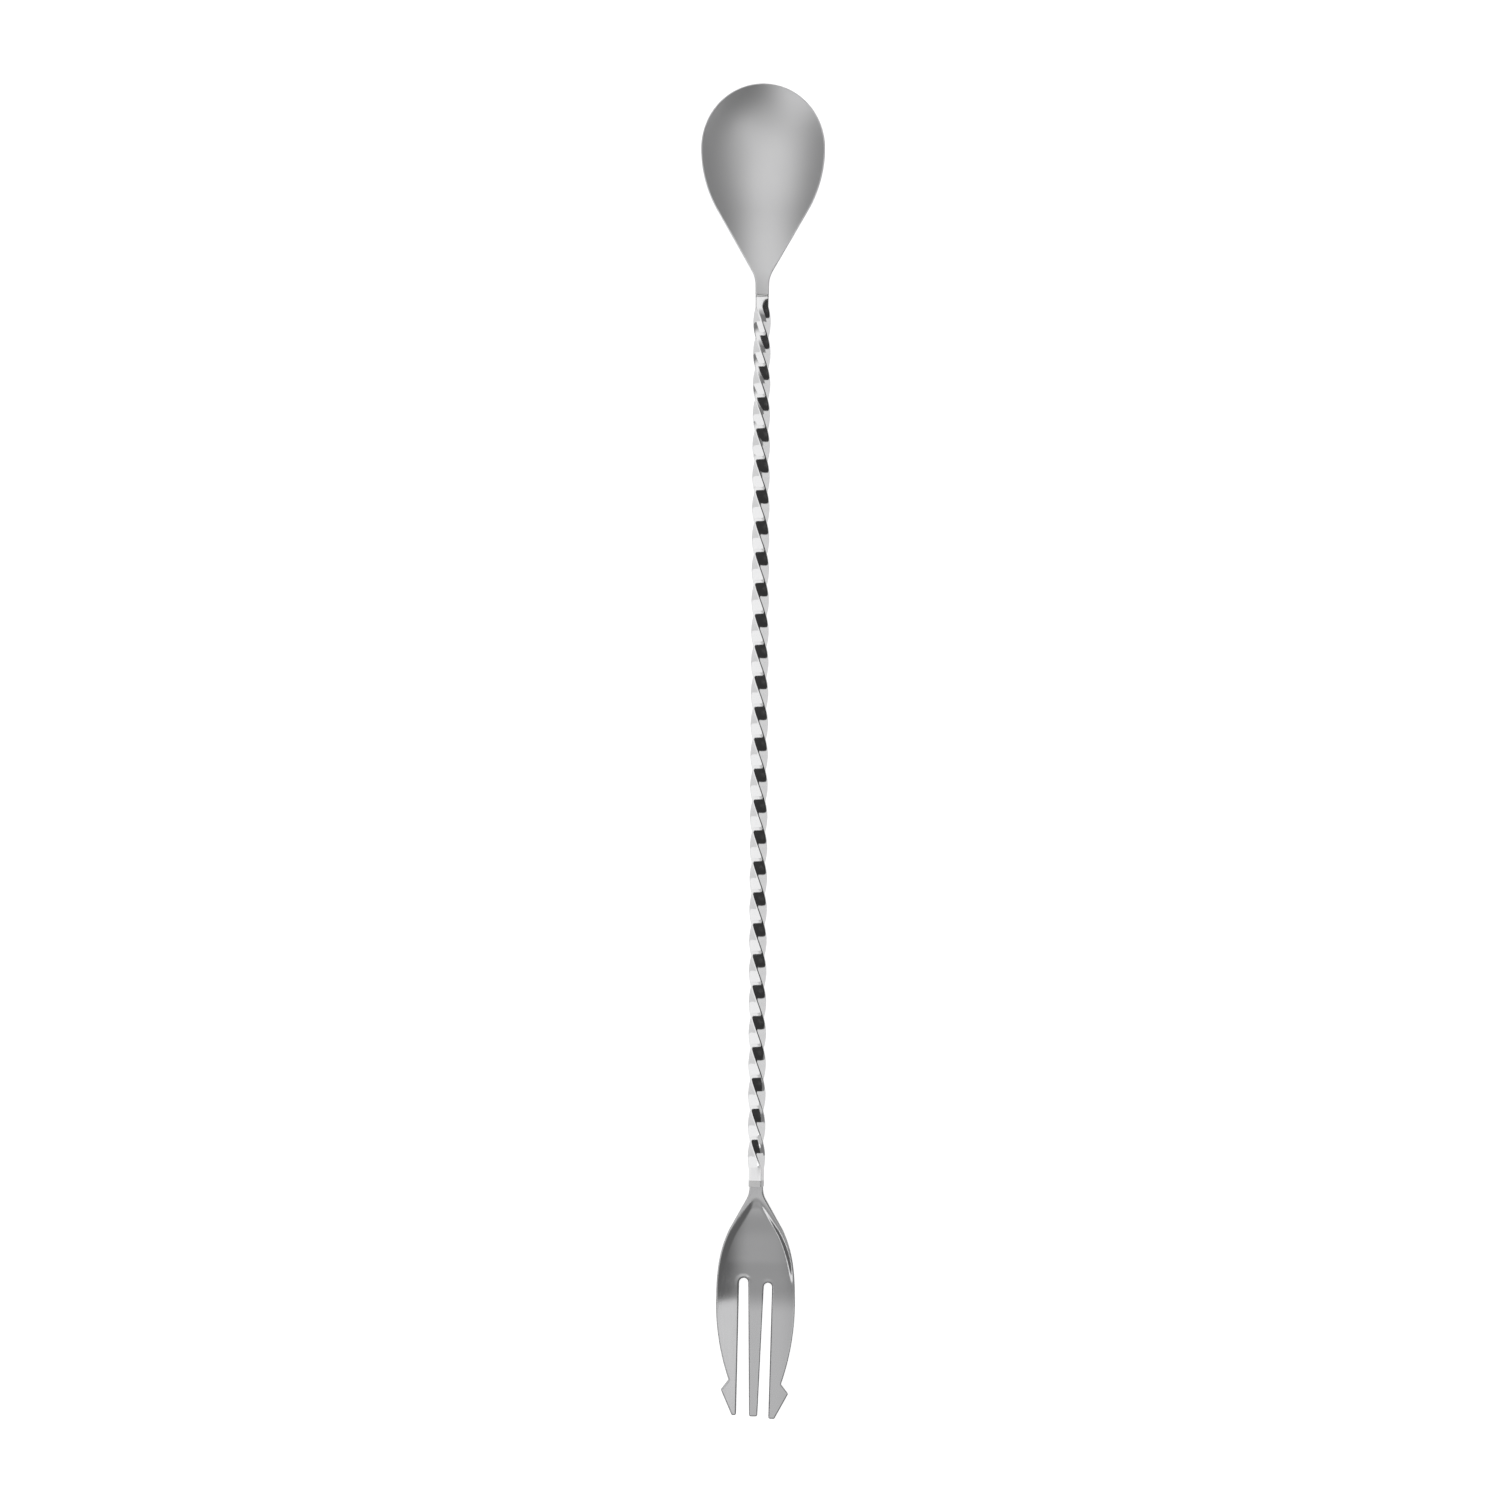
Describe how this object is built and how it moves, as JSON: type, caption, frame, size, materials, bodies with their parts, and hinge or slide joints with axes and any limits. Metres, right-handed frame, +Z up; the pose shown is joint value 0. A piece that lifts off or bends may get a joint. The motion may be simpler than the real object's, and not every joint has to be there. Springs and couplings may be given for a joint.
{
  "type": "bar spoon",
  "caption": "Long steel bar spoon: a satin teardrop bowl and a polished barbed trident fork welded to the ends of a twisted square stem.",
  "frame": {"origin": "on the surface the spoon lies on, under the middle of its bounding box", "axes": "+Y along the stem towards the bowl, +Z up out of the open bowl, +X to the right"},
  "size_m": [0.0278, 0.3, 0.0065],
  "materials": {
    "bowl_satin": "bead-blasted satin stainless steel",
    "weld_metal": "weld bead ground flush and rubbed smooth",
    "stem_polish": "mirror-polished stainless steel",
    "fork_polish": "finely polished stainless steel"
  },
  "bodies": {
    "root": {"spoon_bowl": "bowl_satin", "bowl_weld": "weld_metal", "twisted_stem": "stem_polish", "fork_weld": "weld_metal", "fork_head": "fork_polish"}
  },
  "joints": []
}
